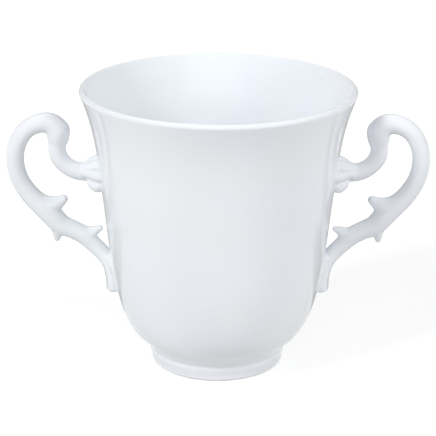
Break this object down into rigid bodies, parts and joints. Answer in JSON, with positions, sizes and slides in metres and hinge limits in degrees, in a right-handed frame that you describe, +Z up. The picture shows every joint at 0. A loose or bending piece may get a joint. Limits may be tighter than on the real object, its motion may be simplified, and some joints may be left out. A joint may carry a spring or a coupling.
{
  "type": "two-handled soup cup",
  "caption": "Tall flared porcelain soup cup on a low foot ring, with scrolled leaf handles that join the wall at a shell and a long pad; white glaze, no decoration.",
  "frame": {"origin": "centre of the foot ring, on the surface that the cup stands on", "axes": "+Z up the cup's axis, X through both handles, Y across them"},
  "size_m": [0.147, 0.095, 0.0998],
  "materials": {
    "glazed_porcelain": "gloss, clear glaze over white porcelain"
  },
  "bodies": {
    "root": {"bowl": "glazed_porcelain", "foot_ring": "glazed_porcelain", "left_handle": "glazed_porcelain", "right_handle": "glazed_porcelain", "left_shell": "glazed_porcelain", "right_shell": "glazed_porcelain"}
  },
  "joints": []
}
